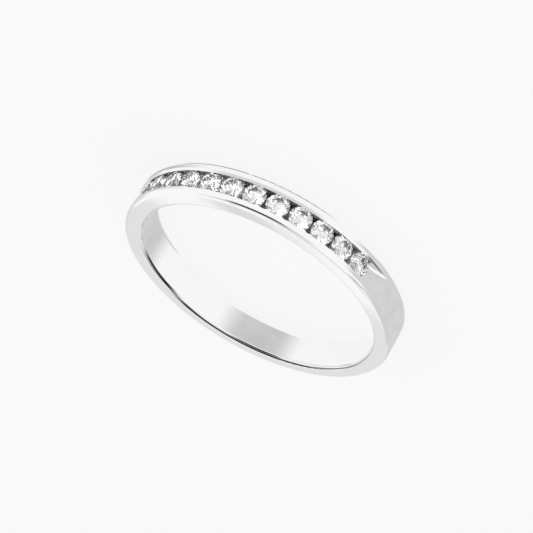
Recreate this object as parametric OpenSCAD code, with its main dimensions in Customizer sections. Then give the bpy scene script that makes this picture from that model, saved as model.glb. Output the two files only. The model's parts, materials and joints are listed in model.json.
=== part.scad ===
// A band with a row of round brilliants set in a channel over its top.
// Millimetres. The finger hole runs along Z, and its centre, halfway across the band, is the origin.
// The row of stones is centred on +Y. The band lies on its side, on the face at Z = -band_w / 2.

/* [Finger hole] */
// Inside diameter of the ring
finger_d = 16.5; // [15:0.1:19]
// Rounding of the two edges of the finger hole
inner_round = 0.28; // [0.1:0.01:0.34]

/* [Band] */
// Width of the band, measured along the finger
band_w = 2.5; // [2.4:0.05:3]
// Thickness of the band under the middle of the row of stones
top_t = 1.4; // [1.38:0.01:1.8]
// Thickness of the band opposite the stones
foot_t = 1.05; // [0.9:0.01:1.35]
// Rounding of the two outer edges
outer_round = 0.28; // [0.1:0.01:0.34]

/* [Stones] */
// Number of stones in the row
stone_count = 12; // [6:1:20]
// Diameter of a stone over its girdle
stone_d = 1.52; // [1.46:0.01:1.56]
// Gap between the girdles of two neighbours
stone_gap = 0.08; // [0.04:0.01:0.2]
// Depth of the girdles below the tops of the rails
girdle_drop = 0.3; // [0.28:0.01:0.32]
// Angle of the bezel facets to the girdle
crown_angle = 34.5; // [32:0.5:36]
// Angle of the main pavilion facets to the girdle
pavilion_angle = 40.8; // [39:0.2:42]
// Width of the table, corner to corner, as a share of the diameter
table_share = 0.57; // [0.53:0.01:0.62]
// Reach of the star facets from the table's edge towards the girdle
star_share = 0.52; // [0.45:0.01:0.6]
// Reach of the lower girdle facets from the girdle towards the culet
lower_share = 0.77; // [0.7:0.01:0.85]
// Thickness of the girdle as a share of the diameter
girdle_share = 0.03; // [0.025:0.005:0.045]

/* [Channel] */
// Clear width between the two rails, a little less than a stone
channel_w = 1.28; // [1.24:0.01:1.32]
// Depth of the channel below the tops of the rails
channel_depth = 1.02; // [1:0.01:1.06]
// Bevel along the inner edge of each rail
rail_bevel = 0.13; // [0.08:0.01:0.14]
// Clearance round a girdle in the groove that holds it
seat_gap = 0.02; // [0.01:0.005:0.03]
// Length of the sloping run-out past each end stone
runout_length = 1.7; // [1.4:0.05:1.9]
// Depth of the run-out where it meets the end stone
runout_depth = 0.46; // [0.42:0.01:0.5]

/* [Hidden] */
finger_r = finger_d / 2;
outer_r = (finger_d + top_t + foot_t) / 2;
outer_shift = (top_t - foot_t) / 2;

stone_r = stone_d / 2;
girdle_t = girdle_share * stone_d;
girdle_r = outer_r - girdle_drop;
stone_half_angle = atan(stone_r / girdle_r);
stone_pitch = 2 * stone_half_angle + asin(stone_gap / (girdle_r + girdle_drop / 2));

rail_z = channel_w / 2;
end_stone_angle = stone_pitch * (stone_count - 1) / 2;

// A run-out is a shallow scoop. It is deepest beside the end stone, and its radius makes it leave the
// outer surface after runout_length.
scoop_angle = end_stone_angle + stone_half_angle + asin(seat_gap / girdle_r);
scoop_low_r = outer_r - runout_depth;
runout_angle = runout_length / outer_r * 180 / PI;
scoop_cos = cos(runout_angle);
scoop_r = (2 * outer_r * scoop_low_r * scoop_cos - pow(outer_r, 2) - pow(scoop_low_r, 2))
    / (2 * (scoop_low_r - outer_r * scoop_cos));

// Radius of the shallow scoop in which the bevels of the rails end
bevel_scoop_r = 20;
// How much deeper that scoop is than the bevels, and how much smaller an end stone's pocket is than the channel
step = 0.005;
// The least flat that is left between a girdle groove and the bevel above it
lip_min_t = 0.01;
// How far a cutting shape reaches past the surface that it cuts
over = 0.5;
// The stones lie turned about their own axes, as they do in a real row
stone_turn_step = 17;
metal = [0.86, 0.87, 0.88];
diamond = [0.9, 0.93, 0.97];

stone_names = [for (i = [1 : stone_count]) str("stone_", i < 10 ? "0" : "", i)];
$fn = 144;

// The corner points of one round brilliant. The table faces +Z, and the girdle lies across Z = 0.
// Each facet is flat: the heights are read off the planes of the bezel and main facets.
function ring_point(r, angle, z) = [r * cos(angle), r * sin(angle), z];
function bezel_z(x) = girdle_t / 2 + (stone_r - x) * tan(crown_angle);
function main_z(x) = -girdle_t / 2 - (stone_r - x) * tan(pavilion_angle);
// The height at which the plane through three points passes over a fourth
function plane_z(a, b, c, p) =
    let (n = cross(b - a, c - a))
    a[2] - (n[0] * (p[0] - a[0]) + n[1] * (p[1] - a[1])) / n[2];

facet_step = 45;
table_r = table_share * stone_r;
table_flat_r = table_r * cos(facet_step / 2);
star_r = table_flat_r + star_share * (stone_r - table_flat_r);
lower_r = (1 - lower_share) * stone_r;

table_ring = [for (k = [0 : 7]) ring_point(table_r, k * facet_step, bezel_z(table_r))];
star_ring = [for (k = [0 : 7])
    ring_point(star_r, (k + 0.5) * facet_step, bezel_z(star_r * cos(facet_step / 2)))];
lower_ring = [for (k = [0 : 7])
    ring_point(lower_r, (k + 0.5) * facet_step, main_z(lower_r * cos(facet_step / 2)))];

// Each half facet of the crown or pavilion meets the round girdle at its two corners and, between them,
// a little nearer the girdle's middle. That gives the girdle its scalloped edge.
function girdle_ring(z, inner_ring) = [for (j = [0 : 31])
    let (
        angle = j * facet_step / 4,
        spot = ring_point(stone_r, angle, z),
        before = ring_point(stone_r, angle - facet_step / 4, z),
        after = ring_point(stone_r, angle + facet_step / 4, z)
    )
    j % 2 == 0
        ? spot
        : ring_point(stone_r, angle, plane_z(inner_ring[floor(j / 4)], before, after, spot))];

crown_girdle = girdle_ring(girdle_t / 2, star_ring);
pavilion_girdle = girdle_ring(-girdle_t / 2, lower_ring);
culet = [0, 0, main_z(0)];

// Where each ring starts in the list of points
first_star = 8;
first_crown_girdle = 16;
first_pavilion_girdle = 48;
first_lower = 80;
culet_index = 88;

function star(k) = first_star + (k + 8) % 8;
function lower(k) = first_lower + (k + 8) % 8;
function upper_edge(j) = first_crown_girdle + (j + 32) % 32;
function under_edge(j) = first_pavilion_girdle + (j + 32) % 32;

module brilliant() {
    polyhedron(
        points = concat(table_ring, star_ring, crown_girdle, pavilion_girdle, lower_ring, [culet]),
        faces = concat(
            [[for (k = [7 : -1 : 0]) k]],
            [for (k = [0 : 7]) [k, (k + 1) % 8, star(k)]],
            [for (k = [0 : 7]) [k, star(k), upper_edge(4 * k), star(k - 1)]],
            [for (k = [0 : 7]) [star(k), upper_edge(4 * k + 2), upper_edge(4 * k + 1), upper_edge(4 * k)]],
            [for (k = [0 : 7]) [star(k), upper_edge(4 * k + 4), upper_edge(4 * k + 3), upper_edge(4 * k + 2)]],
            [for (j = [0 : 31]) [upper_edge(j), upper_edge(j + 1), under_edge(j + 1), under_edge(j)]],
            [for (k = [0 : 7]) [lower(k), under_edge(4 * k), under_edge(4 * k + 1), under_edge(4 * k + 2)]],
            [for (k = [0 : 7]) [lower(k), under_edge(4 * k + 2), under_edge(4 * k + 3), under_edge(4 * k + 4)]],
            [for (k = [0 : 7]) [culet_index, lower(k - 1), under_edge(4 * k), lower(k)]]
        )
    );
}

// Places its children on the outer surface's own centre, at an angle round the band.
module around(angle) {
    translate([0, outer_shift, 0])
        rotate([0, 0, angle])
            children();
}

// Half of the band's section, with the outer corners rounded. It reaches in to the axis.
module blank_section() {
    translate([0, -band_w / 2])
        square([outer_r - outer_round, band_w]);
    translate([0, outer_round - band_w / 2])
        square([outer_r, band_w - 2 * outer_round]);
    for (side = [-1, 1])
        translate([outer_r - outer_round, side * (band_w / 2 - outer_round)])
            circle(outer_round);
}

// The finger hole, flared at both ends so that it leaves the band with rounded edges.
module finger_hole() {
    flare_r = finger_r + inner_round;
    flare_z = band_w / 2 - inner_round;
    rotate_extrude()
        difference() {
            translate([0, -band_w / 2 - over])
                square([flare_r, band_w + 2 * over]);
            translate([finger_r, -flare_z])
                square([2 * inner_round, 2 * flare_z]);
            for (side = [-1, 1])
                translate([flare_r, side * flare_z])
                    circle(inner_round);
        }
}

// The grooves that hold the girdles follow the stones' steepest facets, the half facets next to the girdle.
groove_z = stone_r + seat_gap;
groove_half_t = girdle_t / 2 + seat_gap;
groove_mouth = groove_z - rail_z;
groove_top_r = girdle_r + groove_half_t
    + groove_mouth * (star_ring[0][2] - girdle_t / 2) / (stone_r - star_r);
groove_low_r = girdle_r - groove_half_t
    - groove_mouth * (-girdle_t / 2 - lower_ring[0][2]) / (stone_r - lower_r);
lip_r = max(outer_r - rail_bevel, groove_top_r + lip_min_t);

// Half of the channel's section: its floor, which stays clear of the culets, the groove and the rail's wall
floor_r = min(outer_r - channel_depth, girdle_r + culet[2] - seat_gap - step);
channel_half = [
    [floor_r, rail_z],
    [groove_low_r, rail_z],
    [girdle_r - groove_half_t, groove_z],
    [girdle_r + groove_half_t, groove_z],
    [groove_top_r, rail_z],
    [outer_r + over, rail_z]
];

// A cut's section, the same on both sides of the middle of the band
module mirrored_section(half) {
    polygon(concat(half, [for (k = [len(half) - 1 : -1 : 0]) [half[k][0], -half[k][1]]]));
}

module bevel_section() {
    mirrored_section([[lip_r, rail_z], [outer_r + over, rail_z + outer_r + over - lip_r]]);
}

// Turns a section along the row of stones, as far as half_angle on each side of its middle.
module along_row(half_angle) {
    around(90 - half_angle)
        rotate_extrude(angle = 2 * half_angle)
            children();
}

// The round pocket of an end stone. It has the channel's section, turned about the stone's own axis.
module pocket() {
    rotate([0, 90, 0])
        rotate_extrude()
            polygon(concat(
                [[0, floor_r + step]],
                [for (p = channel_half) [p[1] - step, min(max(p[0], floor_r + step), outer_r + over / 2)]],
                [[0, outer_r + over / 2]]
            ));
}

module run_out() {
    translate([scoop_low_r + scoop_r, 0, 0])
        cylinder(r = scoop_r, h = channel_w, center = true);
    translate([lip_r - step + bevel_scoop_r, 0, 0])
        rotate_extrude()
            mirrored_section([[0, rail_z + over], [bevel_scoop_r - over, rail_z + over], [bevel_scoop_r, rail_z]]);
}

module channel() {
    along_row(end_stone_angle)
        mirrored_section(channel_half);
    along_row(scoop_angle)
        bevel_section();
    for (side = [-1, 1]) {
        around(90 + side * end_stone_angle)
            pocket();
        around(90 + side * scoop_angle)
            run_out();
    }
}

module band() {
    color(metal)
        difference() {
            around(0)
                rotate_extrude()
                    blank_section();
            finger_hole();
            channel();
        }
}

module stone(i) {
    color(diamond)
        around(90 + (i - (stone_count - 1) / 2) * stone_pitch)
            translate([girdle_r, 0, 0])
                rotate([0, 90, 0])
                    rotate([0, 0, i * stone_turn_step])
                        brilliant();
}

band();
for (i = [0 : stone_count - 1])
    stone(i);
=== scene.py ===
import json
from math import atan2, cos, pi, radians, sin

import bmesh
import bpy
from mathutils import Matrix, Vector


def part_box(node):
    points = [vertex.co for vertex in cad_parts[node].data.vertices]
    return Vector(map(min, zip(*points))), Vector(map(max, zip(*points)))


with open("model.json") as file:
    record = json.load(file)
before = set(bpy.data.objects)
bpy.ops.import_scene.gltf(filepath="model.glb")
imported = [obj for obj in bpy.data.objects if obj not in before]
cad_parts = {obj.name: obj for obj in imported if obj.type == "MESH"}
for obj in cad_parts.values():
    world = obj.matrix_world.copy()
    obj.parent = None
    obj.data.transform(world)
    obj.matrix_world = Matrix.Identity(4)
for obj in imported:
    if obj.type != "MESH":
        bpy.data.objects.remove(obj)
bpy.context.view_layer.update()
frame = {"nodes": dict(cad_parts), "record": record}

mm = 0.001
print("frame loaded:", len(frame["nodes"]), "nodes")


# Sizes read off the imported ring, so that the finishes follow it
def measureRing():
    low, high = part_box("band")
    stones = sorted(name for name in frame["nodes"] if name.startswith("stone_"))
    middles = {n: sum(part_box(n), Vector()) / 2 for n in stones}
    rimMiddle = Vector((0, (low.y + high.y) / 2, 0))
    first = middles[stones[0]] - rimMiddle
    firstAngle = pi / 2 - atan2(first.y, first.x)   # from the middle of the row to the first stone
    bore = next(mount for mount in frame["record"]["mounts"] if mount["name"] == "finger_bore")
    return {
        "stones": stones,
        "rimMiddle": rimMiddle,                     # centre of the outer surface
        "rimRadius": (high.x - low.x) / 2,
        "holeRadius": bore["dims"]["r_mm"] * mm,
        "halfWidth": high.z,
        "edgeRound": high.z - bore["dims"]["length_mm"] / 2 * mm,
        "floorZ": low.z,
        "stoneRadius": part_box(stones[0])[1].z,
        "rowHalfAngle": firstAngle,
        "stoneStep": 2 * firstAngle / (len(stones) - 1),
    }


ring = measureRing()


# Shader nodes: a short way to add one, set it and link what feeds it
def addNode(tree, kind, inputs=None, **settings):
    node = tree.nodes.new("ShaderNode" + kind)
    for name, value in settings.items():
        setattr(node, name, value)
    for name, value in (inputs or {}).items():
        socket = node.inputs[name]
        if isinstance(value, bpy.types.NodeSocket):
            tree.links.new(value, socket)
        else:
            socket.default_value = value
    return node


def addMath(tree, operation, *values):
    return addNode(tree, "Math", dict(enumerate(values)), operation=operation).outputs[0]


def addVector(tree, operation, *values, result="Vector", **inputs):
    inputs = {**dict(enumerate(values)), **inputs}
    return addNode(tree, "VectorMath", inputs, operation=operation).outputs[result]


def addNoise(tree, place, size, detail):
    return addNode(tree, "TexNoise", {"Vector": place, "Scale": 1 / size, "Detail": detail}).outputs[0]


# Two colours mixed, each a socket or three numbers
def addMix(tree, factor, first, second):
    def asColour(value):
        return value if isinstance(value, bpy.types.NodeSocket) else (*value, 1)

    inputs = {0: factor, 6: asColour(first), 7: asColour(second)}
    return addNode(tree, "Mix", inputs, data_type="RGBA").outputs[2]


# Distance from the Z axis
def addRadius(tree, x, y):
    squares = [addMath(tree, "MULTIPLY", side, side) for side in (x, y)]
    return addMath(tree, "SQRT", addMath(tree, "ADD", *squares))


# 0 at low and before it, 1 at high and past it, and a soft step between them. low can be the larger one.
def addStep(tree, value, low, high):
    inputs = {"Value": value, "From Min": low, "From Max": high}
    return addNode(tree, "MapRange", inputs, interpolation_type="SMOOTHSTEP").outputs["Result"]


def newMaterial(name):
    material = bpy.data.materials.new(name)
    material.use_nodes = True
    material.node_tree.nodes.clear()
    return material, material.node_tree


def finishMaterial(tree, shader):
    addNode(tree, "OutputMaterial", {"Surface": shader})


# The true normal of the rim, the hole's wall, the side faces and their rounded edges, worked out from the
# place. Light then runs evenly along the edges. The channel and the bevels keep the mesh's own normal.

trueNormal = {
    "offLength": (0.08, 0.12),      # the place lies on one of those surfaces if the normal is about 1 long
    "likeness": (0.88, 0.93),       # and the normal lies close to the mesh's own
}


def addTrueNormal(tree, x, y, z, rimY, rimRadius, holeRadius):
    edge = ring["edgeRound"]

    def share(value, start):
        past = addMath(tree, "SUBTRACT", value, start)
        return addMath(tree, "MAXIMUM", addMath(tree, "DIVIDE", past, edge), 0.0)

    out = share(rimRadius, ring["rimRadius"] - edge)
    into = share(addMath(tree, "SUBTRACT", 2 * ring["holeRadius"], holeRadius), ring["holeRadius"] - edge)
    up = share(addMath(tree, "ABSOLUTE", z), ring["halfWidth"] - edge)
    fromRim = addVector(tree, "NORMALIZE", addNode(tree, "CombineXYZ", {"X": x, "Y": rimY}).outputs[0])
    fromHole = addVector(tree, "NORMALIZE", addNode(tree, "CombineXYZ", {"X": x, "Y": y}).outputs[0])
    rise = addMath(tree, "MULTIPLY", up, addMath(tree, "SIGN", z))
    rise = addNode(tree, "CombineXYZ", {"Z": rise}).outputs[0]
    normal = addVector(tree, "SUBTRACT", addVector(tree, "SCALE", fromRim, Scale=out),
                       addVector(tree, "SCALE", fromHole, Scale=into))
    normal = addVector(tree, "ADD", normal, rise)
    length = addVector(tree, "LENGTH", normal, result="Value")
    normal = addVector(tree, "NORMALIZE", normal)
    own = addNode(tree, "TexCoord").outputs["Normal"]
    offLength = addMath(tree, "ABSOLUTE", addMath(tree, "SUBTRACT", length, 1.0))
    near = addStep(tree, offLength, *reversed(trueNormal["offLength"]))
    likeness = addVector(tree, "DOT_PRODUCT", normal, own, result="Value")
    alike = addStep(tree, likeness, *trueNormal["likeness"])
    used = addMath(tree, "MULTIPLY", near, alike)
    mixed = addNode(tree, "Mix", {0: used, 4: own, 5: normal}, data_type="VECTOR").outputs[1]
    turned = addNode(tree, "VectorTransform", {"Vector": mixed}, vector_type="NORMAL",
                     convert_from="OBJECT", convert_to="WORLD").outputs[0]
    return addVector(tree, "NORMALIZE", turned)


# White gold

whiteGold = {
    "polished": (0.985, 0.986, 0.988),      # rhodium plate
    "castAndShade": (0.20, 0.20, 0.21),             # the channel under the stones, never polished, and darkened far below the metal's own tone as painted shade in the recess
    "rough": 0.045,
    "hazeRough": 0.05,                      # added in the faint hazy patches
    "castRough": 0.42,
    "seat": (0.93, 0.93, 0.94),             # the cut seat under each stone is brighter than the cast metal and its painted shade
    "seatShare": (0.27, 0.37),              # where it fades, from a stone's middle, in steps between stones
    "hazeSize": 2.6 * mm,
    "hazeStep": (0.45, 0.75),               # where in its cloud a hazy patch starts and is full
    "hazeDarker": 0.97,                     # the darker tone, as a share of the polish
    "hazeTint": 0.35,                       # how much of it a hazy patch takes
    "grainSize": 0.12 * mm,                 # grain of the cast metal in its painted shade, and how much lighter it gets
    "grainLighter": 1.7,
    "waveSize": 1.3 * mm,                   # soft waves left by the polishing wheel
    "waveHeight": 0.0005 * mm,
    "lineSize": 0.09 * mm,                  # fine lines that run round the band
    "lineHeight": 0.00004 * mm,
    "lipDepth": (0.13 * mm, 0.16 * mm),     # the polish stops at the lip of each rail
    "floorOver": (0.12 * mm, 0.156 * mm),   # metal between the finger hole and the cast channel with its painted shade
    "sideOver": (0.04 * mm, 0.06 * mm),     # the cast channel with its painted shade is this much wider than a stone on each side
    "endOver": (0.0, 0.002),                # and ends this far past the last stone, in radians
}


def makeWhiteGold(look):
    material, tree = newMaterial("polishedWhiteGold")
    place = addNode(tree, "TexCoord").outputs["Object"]
    apart = addNode(tree, "SeparateXYZ", {"Vector": place})
    x, y, z = (apart.outputs[k] for k in "XYZ")

    # How far a point lies from the rim's own axis, and its angle from the middle of the row
    rimY = addMath(tree, "SUBTRACT", y, ring["rimMiddle"].y)
    rimRadius = addRadius(tree, x, rimY)
    holeRadius = addRadius(tree, x, y)
    rowAngle = addMath(tree, "ABSOLUTE", addMath(tree, "ARCTAN2", x, rimY))

    # Cast finish, with painted shade in its colour: under the lips, over the hole's wall, and along the row
    rowEnd = ring["rowHalfAngle"] + ring["stoneRadius"] / ring["rimRadius"]
    under = addStep(tree, rimRadius, *(ring["rimRadius"] - depth for depth in look["lipDepth"]))
    over = addStep(tree, holeRadius, *(ring["holeRadius"] + height for height in look["floorOver"]))
    along = addStep(tree, rowAngle, *(rowEnd + angle for angle in reversed(look["endOver"])))
    inside = addStep(tree, addMath(tree, "ABSOLUTE", z),
                     *(ring["stoneRadius"] + width for width in reversed(look["sideOver"])))
    castAndShade = under
    for limit in (over, along, inside):
        castAndShade = addMath(tree, "MULTIPLY", castAndShade, limit)

    hazy = addStep(tree, addNoise(tree, place, look["hazeSize"], 3.0), *look["hazeStep"])
    polishedRough = addMath(tree, "MULTIPLY_ADD", hazy, look["hazeRough"], look["rough"])
    grain = addNoise(tree, place, look["grainSize"], 4.0)
    roughness = addNode(tree, "Mix", {"Factor": castAndShade, 2: polishedRough, 3: look["castRough"]}).outputs[0]

    darker = [part * look["hazeDarker"] for part in look["polished"]]
    lighter = [part * look["grainLighter"] for part in look["castAndShade"]]
    tint = addMix(tree, addMath(tree, "MULTIPLY", hazy, look["hazeTint"]), look["polished"], darker)
    shadedCast = addMix(tree, grain, look["castAndShade"], lighter)
    # Painted shade: the channel is dark in the gaps between stones, where shade falls, and each stone's seat
    # keeps the bright tone
    fromGap = addMath(tree, "PINGPONG", addMath(tree, "DIVIDE", rowAngle, ring["stoneStep"]), 0.5)
    seat = addStep(tree, fromGap, 0.5 - look["seatShare"][1], 0.5 - look["seatShare"][0])
    seated = addMix(tree, seat, shadedCast, look["seat"])
    colour = addMix(tree, castAndShade, tint, seated)

    # Waves from the wheel, and fine lines that run round the band
    wave = addNoise(tree, place, look["waveSize"], 1.0)
    stretched = addMath(tree, "MULTIPLY", rowAngle, mm)
    linePlace = addNode(tree, "CombineXYZ", {"X": holeRadius, "Y": z, "Z": stretched}).outputs[0]
    line = addNoise(tree, linePlace, look["lineSize"], 2.0)
    waveHeight = addMath(tree, "MULTIPLY", wave, look["waveHeight"])
    height = addMath(tree, "MULTIPLY_ADD", line, look["lineHeight"], waveHeight)
    height = addMath(tree, "DIVIDE", height, mm)
    normal = addTrueNormal(tree, x, y, z, rimY, rimRadius, holeRadius)
    bump = addNode(tree, "Bump", {"Height": height, "Strength": 1.0, "Distance": mm, "Normal": normal})

    shader = addNode(tree, "BsdfPrincipled", {
        "Base Color": colour, "Metallic": 1.0, "Roughness": roughness, "Normal": bump.outputs[0]})
    finishMaterial(tree, shader.outputs[0])
    return material


# Diamonds

diamond = {
    "clear": (0.985, 0.99, 1.0),
    "cool": (0.93, 0.94, 0.985),            # a breath of lilac in some facets
    "ior": 2.417,
    "girdleRough": 0.35,                    # the girdle is ground, not polished
    "girdleBelow": (0.3, 0.32),             # a face is girdle if its normal leans less along the axis
    "tintSize": 0.45 * mm,
    "tintStep": (0.4, 0.65),
}


def makeDiamond(look):
    material, tree = newMaterial("cutDiamond")
    place = addNode(tree, "TexCoord").outputs["Object"]
    fromMiddle = addVector(tree, "SUBTRACT", place, ring["rimMiddle"])
    axis = addVector(tree, "NORMALIZE", addVector(tree, "MULTIPLY", fromMiddle, (1, 1, 0)))
    normal = addNode(tree, "NewGeometry").outputs["True Normal"]
    lean = addMath(tree, "ABSOLUTE", addVector(tree, "DOT_PRODUCT", axis, normal, result="Value"))
    girdle = addStep(tree, lean, *reversed(look["girdleBelow"]))
    cloud = addNoise(tree, place, look["tintSize"], 2.0)
    colour = addMix(tree, addStep(tree, cloud, *look["tintStep"]), look["clear"], look["cool"])
    shader = addNode(tree, "BsdfPrincipled", {
        "Base Color": colour, "Roughness": addMath(tree, "MULTIPLY", girdle, look["girdleRough"]),
        "IOR": look["ior"], "Transmission Weight": 1.0})
    finishMaterial(tree, shader.outputs[0])
    return material


goldMaterial = makeWhiteGold(whiteGold)
diamondMaterial = makeDiamond(diamond)
frame["nodes"]["band"].material_slots[0].material = goldMaterial
for name in ring["stones"]:
    frame["nodes"][name].material_slots[0].material = diamondMaterial
print("finishes made: white gold on the band, diamond on", len(ring["stones"]), "stones")


def addObject(name, points, faces):
    mesh = bpy.data.meshes.new(name)
    mesh.from_pydata(points, [], faces)
    thing = bpy.data.objects.new(name, mesh)
    bpy.context.scene.collection.objects.link(thing)
    return thing


# Floor: a light table, so that hardly any shadow shows

lightTable = {
    "size": 4.0,                    # metres
    "colour": (0.12, 0.12, 0.12),
    "glow": 0.836,
}


def makeFloor(look):
    half = look["size"] / 2
    sides = ((-half, -half), (half, -half), (half, half), (-half, half))
    corners = [(x, y, ring["floorZ"]) for x, y in sides]
    table = addObject("lightTable", corners, [(0, 1, 2, 3)])
    material, tree = newMaterial("milkyAcrylic")
    shader = addNode(tree, "BsdfPrincipled", {
        "Base Color": (*look["colour"], 1), "Roughness": 1.0, "Specular IOR Level": 0.0,
        "Emission Color": (1, 1, 1, 1), "Emission Strength": look["glow"]})
    finishMaterial(tree, shader.outputs[0])
    table.data.materials.append(material)


makeFloor(lightTable)


# Light: a white tent all round, with cards that show only as mirror images

whiteTent = {"colour": (1.0, 1.0, 1.0), "strength": 0.95}


def makeTent(look):
    world = bpy.data.worlds.new("whiteTent")
    world.use_nodes = True
    background = world.node_tree.nodes["Background"]
    background.inputs["Color"].default_value = (*look["colour"], 1)
    background.inputs["Strength"].default_value = look["strength"]
    bpy.context.scene.world = world


# Far cards face the ring. azimuth and elevation say where one stands, in degrees, from +X and the floor.
# distance and size are in mm, and soft is the share of its half width over which the edge fades.
farCards = {
    "cameraSide": {"azimuth": 96, "elevation": 36, "distance": 180, "size": (176, 170), "light": 0.06,
                   "soft": 0.4},
    "cameraWide": {"azimuth": 98, "elevation": 52, "distance": 190, "size": (380, 180), "light": 0.68,
                   "soft": 0.5},
    "rightWide": {"azimuth": -54, "elevation": 22, "distance": 180, "size": (396, 180), "light": 0.63,
                  "soft": 0.15},
    "above": {"azimuth": 60, "elevation": 80, "distance": 180, "size": (96, 96), "light": 0.55, "soft": 0.6},
    "behindWide": {"azimuth": -88, "elevation": 60, "distance": 180, "size": (110, 150), "light": 0.66,
                   "soft": 0.6},
    "rightHigh": {"azimuth": -14, "elevation": 49, "distance": 85, "size": (22, 22), "light": 0.03,
                  "soft": 0.4},
    "behindLow": {"azimuth": 252.65, "elevation": 19, "distance": 26, "size": (60, 14.6), "light": 0.76,
                  "soft": 0.18},
    "behindHigh": {"azimuth": 239.5, "elevation": 35.8, "distance": 29.7, "size": (17, 1.9), "light": 0.7,
                   "soft": 0.8},
}

# Near cards follow the curve of the finger hole, or of the rim where about says so. radius and heights give
# the two long edges, in mm, arc the two ends and fades how far each fades, in degrees. Where both are the
# same, one number stands for both. soft is how far down the top edge fades, in mm.
nearCards = {
    "holeLeft": {"radius": 8.05, "heights": (-1.25, 1.0), "arc": (105, 201), "fades": 13, "light": 0.6},
    "holeFloor": {"radius": (7.9, 8.5), "heights": -1.24, "arc": (135, 208), "fades": 10, "light": 0.64},
    "holeLow": {"radius": 7.25, "heights": (-1.25, 1.0), "arc": (238, 276), "fades": 12, "light": 0.57},
    "holeRight": {"radius": 8.05, "heights": (-1.25, 1.0), "arc": (318, 350), "fades": 10, "light": 0.82},
    "edgeShade": {"radius": (7.84, 8.7), "heights": (1.9, 2.1), "arc": (212, 302), "fades": (14, 20),
                  "light": 0.03},
    "edgeLeft": {"radius": 8.15, "heights": (0.96, 1.24), "arc": (179, 221), "fades": (13, 12),
                 "light": 0.03},
    "edgeLeftHigh": {"radius": (7.7, 7.95), "heights": 1.9, "arc": (190, 218), "fades": (10, 8),
                     "light": 0.03},
    "edgeLeftTop": {"radius": (7.3, 7.85), "heights": 1.9, "arc": (200, 240), "fades": (12, 16),
                    "light": 0.03},
    "edgeRight": {"radius": (7.5, 8.3), "heights": (1.9, 1.95), "arc": (280, 318), "fades": (10, 12),
                  "light": 0.25},
    "rimRight": {"about": "rim", "radius": 9.58, "heights": (-1.25, 1.13), "arc": (-45, 22), "fades": 6,
                 "light": 0.64},
    "runOut": {"about": "rim", "radius": 9.56, "heights": (-0.33, 1.05), "arc": (14, 43), "fades": (6, 8),
               "light": 0.64},
    "runOutLow": {"about": "rim", "radius": 9.56, "heights": (-1.25, -0.56), "arc": (14, 33),
                  "fades": (6, 8), "light": 0.64},
    "runOutFar": {"about": "rim", "radius": 9.8, "heights": (-1.25, -0.42), "arc": (10, 43), "fades": (6, 8),
                  "light": 0.64},
    "bevelDark": {"about": "rim", "radius": 9.8, "heights": (-0.22, 0.2), "arc": (14, 34), "fades": 4,
                  "light": 0.2},
    "scoopLight": {"about": "rim", "radius": 9.8, "heights": (-0.42, -0.23), "arc": (16, 36), "fades": 4,
                   "light": 1.0},
    "rimLeft": {"about": "rim", "radius": 9.58, "heights": (0.45, 1.0), "arc": (106, 170), "fades": 24,
                "soft": 0.4, "light": 0.54},
    "rimLeftLow": {"about": "rim", "radius": 9.58, "heights": (-1.25, -0.75), "arc": (106, 170), "fades": 24,
                   "light": 0.54},
    "rimFarLeft": {"radius": 12, "heights": (-1.25, 2.6), "arc": (148, 208), "fades": 10, "light": 0.72},
    # Painted contact shadow: a dark card lying on the floor under the lower rounded edge, seen only in
    # reflections, stands in for the ring's shadow
    "contactShadowUnderRim": {"about": "rim", "radius": (9.2, 9.45), "heights": -1.24, "arc": (50, 130), "fades": 12,
                 "light": 0.2},
}

cardBuild = {
    "uneven": 0.14,                 # how much a near card's light varies over its own surface
    "patchesPerMm": 0.9,
    "squareness": 3.0,              # 2 makes a far card round, and more makes it squarer
    "steps": 48,                    # flat strips along a near card's curve
}


# A card's own material: it glows where shown is 1, and lets all light through where shown is 0
def finishCard(card, light, makeShown, uneven=0.0):
    material, tree = newMaterial(card.name)
    place = addNode(tree, "TexCoord").outputs["Object"]
    apart = addNode(tree, "SeparateXYZ", {"Vector": place})
    shown = makeShown(tree, *(apart.outputs[k] for k in "XYZ"))
    patch = addNoise(tree, place, mm / cardBuild["patchesPerMm"], 3.0)
    strength = addMath(tree, "MULTIPLY_ADD", patch, 2 * uneven * light, light * (1 - uneven))
    glow = addNode(tree, "Emission", {"Color": (1, 1, 1, 1), "Strength": strength}).outputs[0]
    clear = addNode(tree, "BsdfTransparent").outputs[0]
    finishMaterial(tree, addNode(tree, "MixShader", {0: shown, 1: clear, 2: glow}).outputs[0])
    card.data.materials.append(material)
    card.visible_camera = False
    card.visible_diffuse = False
    card.visible_transmission = False       # it doesn't show through the stones
    card.visible_shadow = False


def makeFarCard(name, look):
    card = addObject(name, [(-1, -1, 0), (1, -1, 0), (1, 1, 0), (-1, 1, 0)], [(0, 1, 2, 3)])
    azimuth, elevation = radians(look["azimuth"]), radians(look["elevation"])
    away = Vector((cos(elevation) * cos(azimuth), cos(elevation) * sin(azimuth), sin(elevation)))
    size = Matrix.Diagonal((look["size"][0] / 2 * mm, look["size"][1] / 2 * mm, 1, 1))
    turn = away.to_track_quat("Z", "Y").to_matrix().to_4x4()
    card.matrix_world = Matrix.Translation(away * look["distance"] * mm) @ turn @ size

    # A rounded patch that fades out towards its edges
    def makeShown(tree, x, y, z):
        power = cardBuild["squareness"]
        powers = [addMath(tree, "POWER", addMath(tree, "ABSOLUTE", side), power) for side in (x, y)]
        reach = addMath(tree, "POWER", addMath(tree, "ADD", *powers), 1 / power)
        return addStep(tree, reach, 1.0, 1.0 - look["soft"])

    finishCard(card, look["light"], makeShown)


def asPair(value):
    return value if isinstance(value, tuple) else (value, value)


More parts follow.
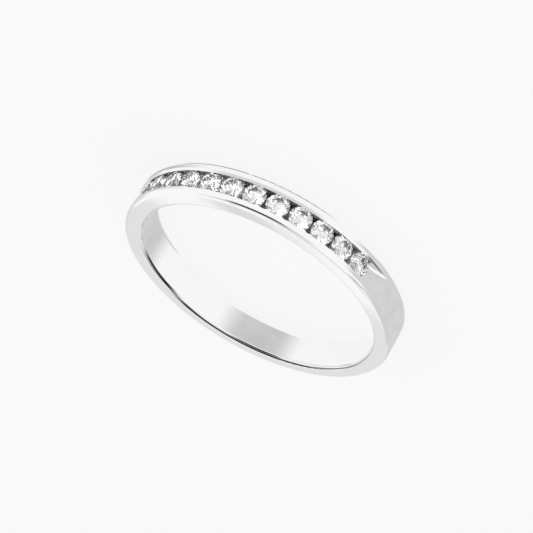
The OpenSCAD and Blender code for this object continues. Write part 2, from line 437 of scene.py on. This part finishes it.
def makeNearCard(name, look):
    start, end = (radians(angle) for angle in look["arc"])
    heights = asPair(look["heights"])
    fades = [radians(angle) for angle in asPair(look["fades"])]
    half = (end - start) / 2
    steps = cardBuild["steps"]
    points = []
    for i in range(steps + 1):
        angle = half * (2 * i / steps - 1)
        for radius, height in zip(asPair(look["radius"]), heights):
            points.append((radius * mm * cos(angle), radius * mm * sin(angle), height * mm))
    faces = [(2 * i, 2 * i + 1, 2 * i + 3, 2 * i + 2) for i in range(steps)]
    card = addObject(name, points, faces)
    middle = ring["rimMiddle"] if look.get("about") == "rim" else Vector()
    card.matrix_world = Matrix.Translation(middle) @ Matrix.Rotation(start + half, 4, "Z")

    # The two ends fade, and the top edge does if it is soft
    def makeShown(tree, x, y, z):
        angle = addMath(tree, "ARCTAN2", y, x)
        begins = addStep(tree, angle, -half, fades[0] - half)
        shown = addMath(tree, "MULTIPLY", begins, addStep(tree, angle, half, half - fades[1]))
        if "soft" in look:
            top = heights[1] * mm
            shown = addMath(tree, "MULTIPLY", shown, addStep(tree, z, top, top - look["soft"] * mm))
        return shown

    finishCard(card, look["light"], makeShown, cardBuild["uneven"])


# Panes of light all round, bright and dark, that show only through the stones
sparkleDome = {
    "radius": 260 * mm,
    "panesAcross": 4.0,
    "light": ((0.0, 0.2), (0.22, 0.7), (0.5, 1.1), (0.78, 1.9)),  # share of the panes below, and brightness
    "windowSide": 160,              # degrees round from +X, the side from which more light comes
    "windowGain": 4.0,
    "windowReach": (0.2, 1.0),      # how squarely a pane faces that side, where the gain starts and is full
}


def makeDome(look):
    shape = bmesh.new()
    bmesh.ops.create_icosphere(shape, subdivisions=4, radius=look["radius"])
    mesh = bpy.data.meshes.new("sparkleDome")
    shape.to_mesh(mesh)
    shape.free()
    dome = bpy.data.objects.new("sparkleDome", mesh)
    bpy.context.scene.collection.objects.link(dome)
    material, tree = newMaterial("panesOfLight")
    towards = addVector(tree, "NORMALIZE", addNode(tree, "TexCoord").outputs["Object"])
    panes = addNode(tree, "TexVoronoi", {"Vector": towards, "Scale": look["panesAcross"]})
    value = addNode(tree, "SeparateColor", {"Color": panes.outputs["Color"]}).outputs[0]
    light = look["light"][0][1]
    for share, level in look["light"][1:]:
        above = addMath(tree, "GREATER_THAN", value, share)
        light = addNode(tree, "Mix", {0: above, 2: light, 3: level}).outputs[0]
    side = radians(look["windowSide"])
    facing = addVector(tree, "DOT_PRODUCT", towards, (cos(side), sin(side), 0), result="Value")
    start, full = look["windowReach"]
    gain = addNode(tree, "MapRange", {"Value": facing, "From Min": start, "From Max": full, "To Min": 1.0,
                                      "To Max": look["windowGain"]}).outputs["Result"]
    light = addMath(tree, "MULTIPLY", light, gain)
    glow = addNode(tree, "Emission", {"Color": (1, 1, 1, 1), "Strength": light}).outputs[0]
    finishMaterial(tree, glow)
    mesh.materials.append(material)
    dome.visible_camera = False
    dome.visible_diffuse = False
    dome.visible_glossy = False
    dome.visible_shadow = False


makeTent(whiteTent)
makeDome(sparkleDome)
for name, look in farCards.items():
    makeFarCard(name + "Card", look)
for name, look in nearCards.items():
    makeNearCard(name + "Card", look)
print("studio made: light table, white tent and", len(farCards) + len(nearCards), "cards")


# Camera. The ring lies on its side here, so the view is rolled to stand it as in the picture.

pictureCamera = {
    "azimuth": 66.65,               # degrees round the finger hole, from +X
    "elevation": 26.0,
    "roll": -149.70,
    "distance": 191.71 * mm,
    "aim": Vector((-0.034, 0.250, -0.442)) * mm,
    "focalPixels": 3000,            # focal length, on a picture that is imagePixels wide
    "imagePixels": 533,
    "sensor": 36.0,                 # mm wide
    "nearest": 10 * mm,             # nothing closer than this is drawn
}


def makeCamera(look):
    azimuth, elevation, roll = (radians(look[k]) for k in ("azimuth", "elevation", "roll"))
    back = Vector((cos(elevation) * cos(azimuth), cos(elevation) * sin(azimuth), sin(elevation)))
    level = Vector((0, 0, 1)).cross(back).normalized()
    upright = back.cross(level)
    right = level * cos(roll) + upright * sin(roll)
    up = upright * cos(roll) - level * sin(roll)
    lens = bpy.data.cameras.new("pictureCamera")
    lens.sensor_width = look["sensor"]
    lens.lens = look["focalPixels"] / look["imagePixels"] * look["sensor"]
    lens.clip_start = look["nearest"]
    camera = bpy.data.objects.new("pictureCamera", lens)
    bpy.context.scene.collection.objects.link(camera)
    turn = Matrix((right, up, back)).transposed().to_4x4()
    camera.matrix_world = Matrix.Translation(look["aim"] + back * look["distance"]) @ turn
    bpy.context.scene.camera = camera
    bpy.context.scene.view_settings.view_transform = "Standard"


makeCamera(pictureCamera)
print("camera set", pictureCamera["azimuth"], "degrees round and", pictureCamera["elevation"], "degrees up")
